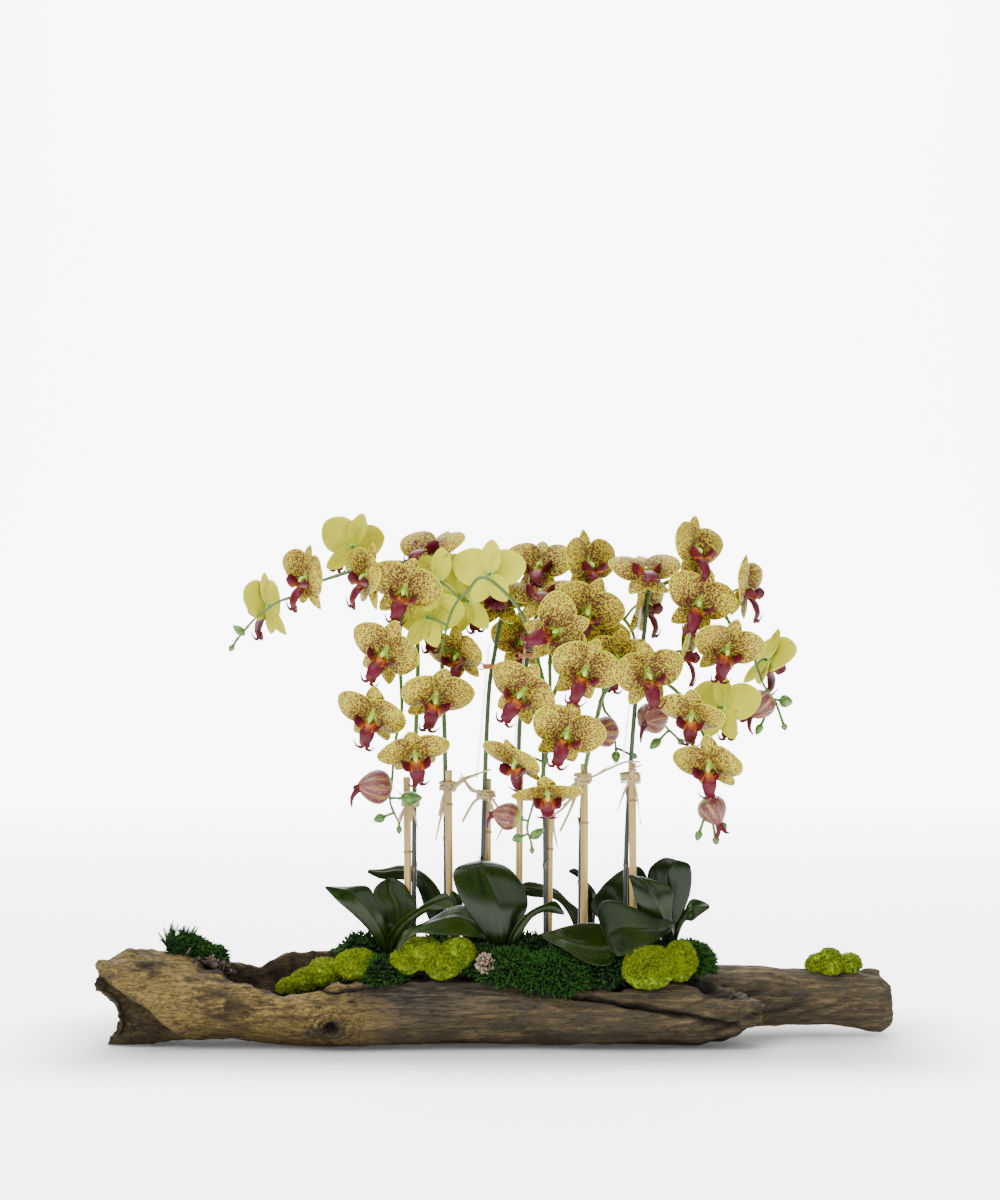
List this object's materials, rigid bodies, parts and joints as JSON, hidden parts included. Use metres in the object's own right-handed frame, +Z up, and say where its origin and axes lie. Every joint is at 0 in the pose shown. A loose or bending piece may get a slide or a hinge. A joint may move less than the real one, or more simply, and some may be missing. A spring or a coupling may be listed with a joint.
{
  "type": "orchids growing on a log",
  "caption": "Moth orchids with arching flower sprays tied to bamboo stakes, growing with leaves and moss from a hollowed driftwood log.",
  "frame": {"origin": "on the ground, under the centre of the whole arrangement's bounding box", "axes": "+X along the log towards its back limb, +Y away from the side the flowers face, +Z up"},
  "size_m": [0.9692, 0.2048, 0.6358],
  "materials": {
    "wood": "weathered bare driftwood, matt, grain along its length",
    "potting_mix": "dark bark potting mix, matt",
    "leaf": "thick leaf, soft shine",
    "stalk": "dark green stem, soft shine",
    "bloom": "yellow-green petals speckled burgundy, satin",
    "bamboo": "dry bamboo cane, satin",
    "clear_rod": "clear plastic rod, glossy",
    "wire": "coated copper-coloured wire",
    "raffia": "dry raffia strands, matt",
    "cushion_moss": "lime reindeer moss, matt",
    "sheet_moss": "dark feathery moss, matt",
    "cone": "dry cone scales, matt"
  },
  "bodies": {
    "root": {"bamboo_stake_1": "bamboo", "bamboo_stake_2": "bamboo", "bamboo_stake_3": "bamboo", "bamboo_stake_4": "bamboo", "bamboo_stake_5": "bamboo", "bamboo_stake_6": "bamboo", "bamboo_stake_7": "bamboo", "bloom_spray_1": "bloom", "bloom_spray_2": "bloom", "bloom_spray_3": "bloom", "bloom_spray_4": "bloom", "bloom_spray_5": "bloom", "bloom_spray_6": "bloom", "bloom_spray_7": "bloom", "clear_rod_3": "clear_rod", "clear_rod_4": "clear_rod", "clear_rod_7": "clear_rod", "cushion_moss_back": "cushion_moss", "cushion_moss_ball": "cushion_moss", "cushion_moss_ball_small": "cushion_moss", "cushion_moss_front": "cushion_moss", "cushion_moss_hollow_end": "cushion_moss", "cushion_moss_left": "cushion_moss", "cushion_moss_limb": "cushion_moss", "driftwood_log": "wood", "flower_stalk_1": "stalk", "flower_stalk_2": "stalk", "flower_stalk_3": "stalk", "flower_stalk_4": "stalk", "flower_stalk_5": "stalk", "flower_stalk_6": "stalk", "flower_stalk_7": "stalk", "leaf_1": "leaf", "leaf_10": "leaf", "leaf_11": "leaf", "leaf_12": "leaf", "leaf_13": "leaf", "leaf_14": "leaf", "leaf_15": "leaf", "leaf_16": "leaf", "leaf_2": "leaf", "leaf_3": "leaf", "leaf_4": "leaf", "leaf_5": "leaf", "leaf_6": "leaf", "leaf_7": "leaf", "leaf_8": "leaf", "leaf_9": "leaf", "pine_cone": "cone", "potting_mix": "potting_mix", "raffia_tie_2": "raffia", "raffia_tie_3": "raffia", "raffia_tie_6": "raffia", "raffia_tie_7": "raffia", "sheet_moss_front": "sheet_moss", "sheet_moss_right": "sheet_moss", "sheet_moss_root_end": "sheet_moss", "wire_tie_3": "wire", "wire_tie_4": "wire", "wire_tie_7": "wire"}
  },
  "joints": []
}
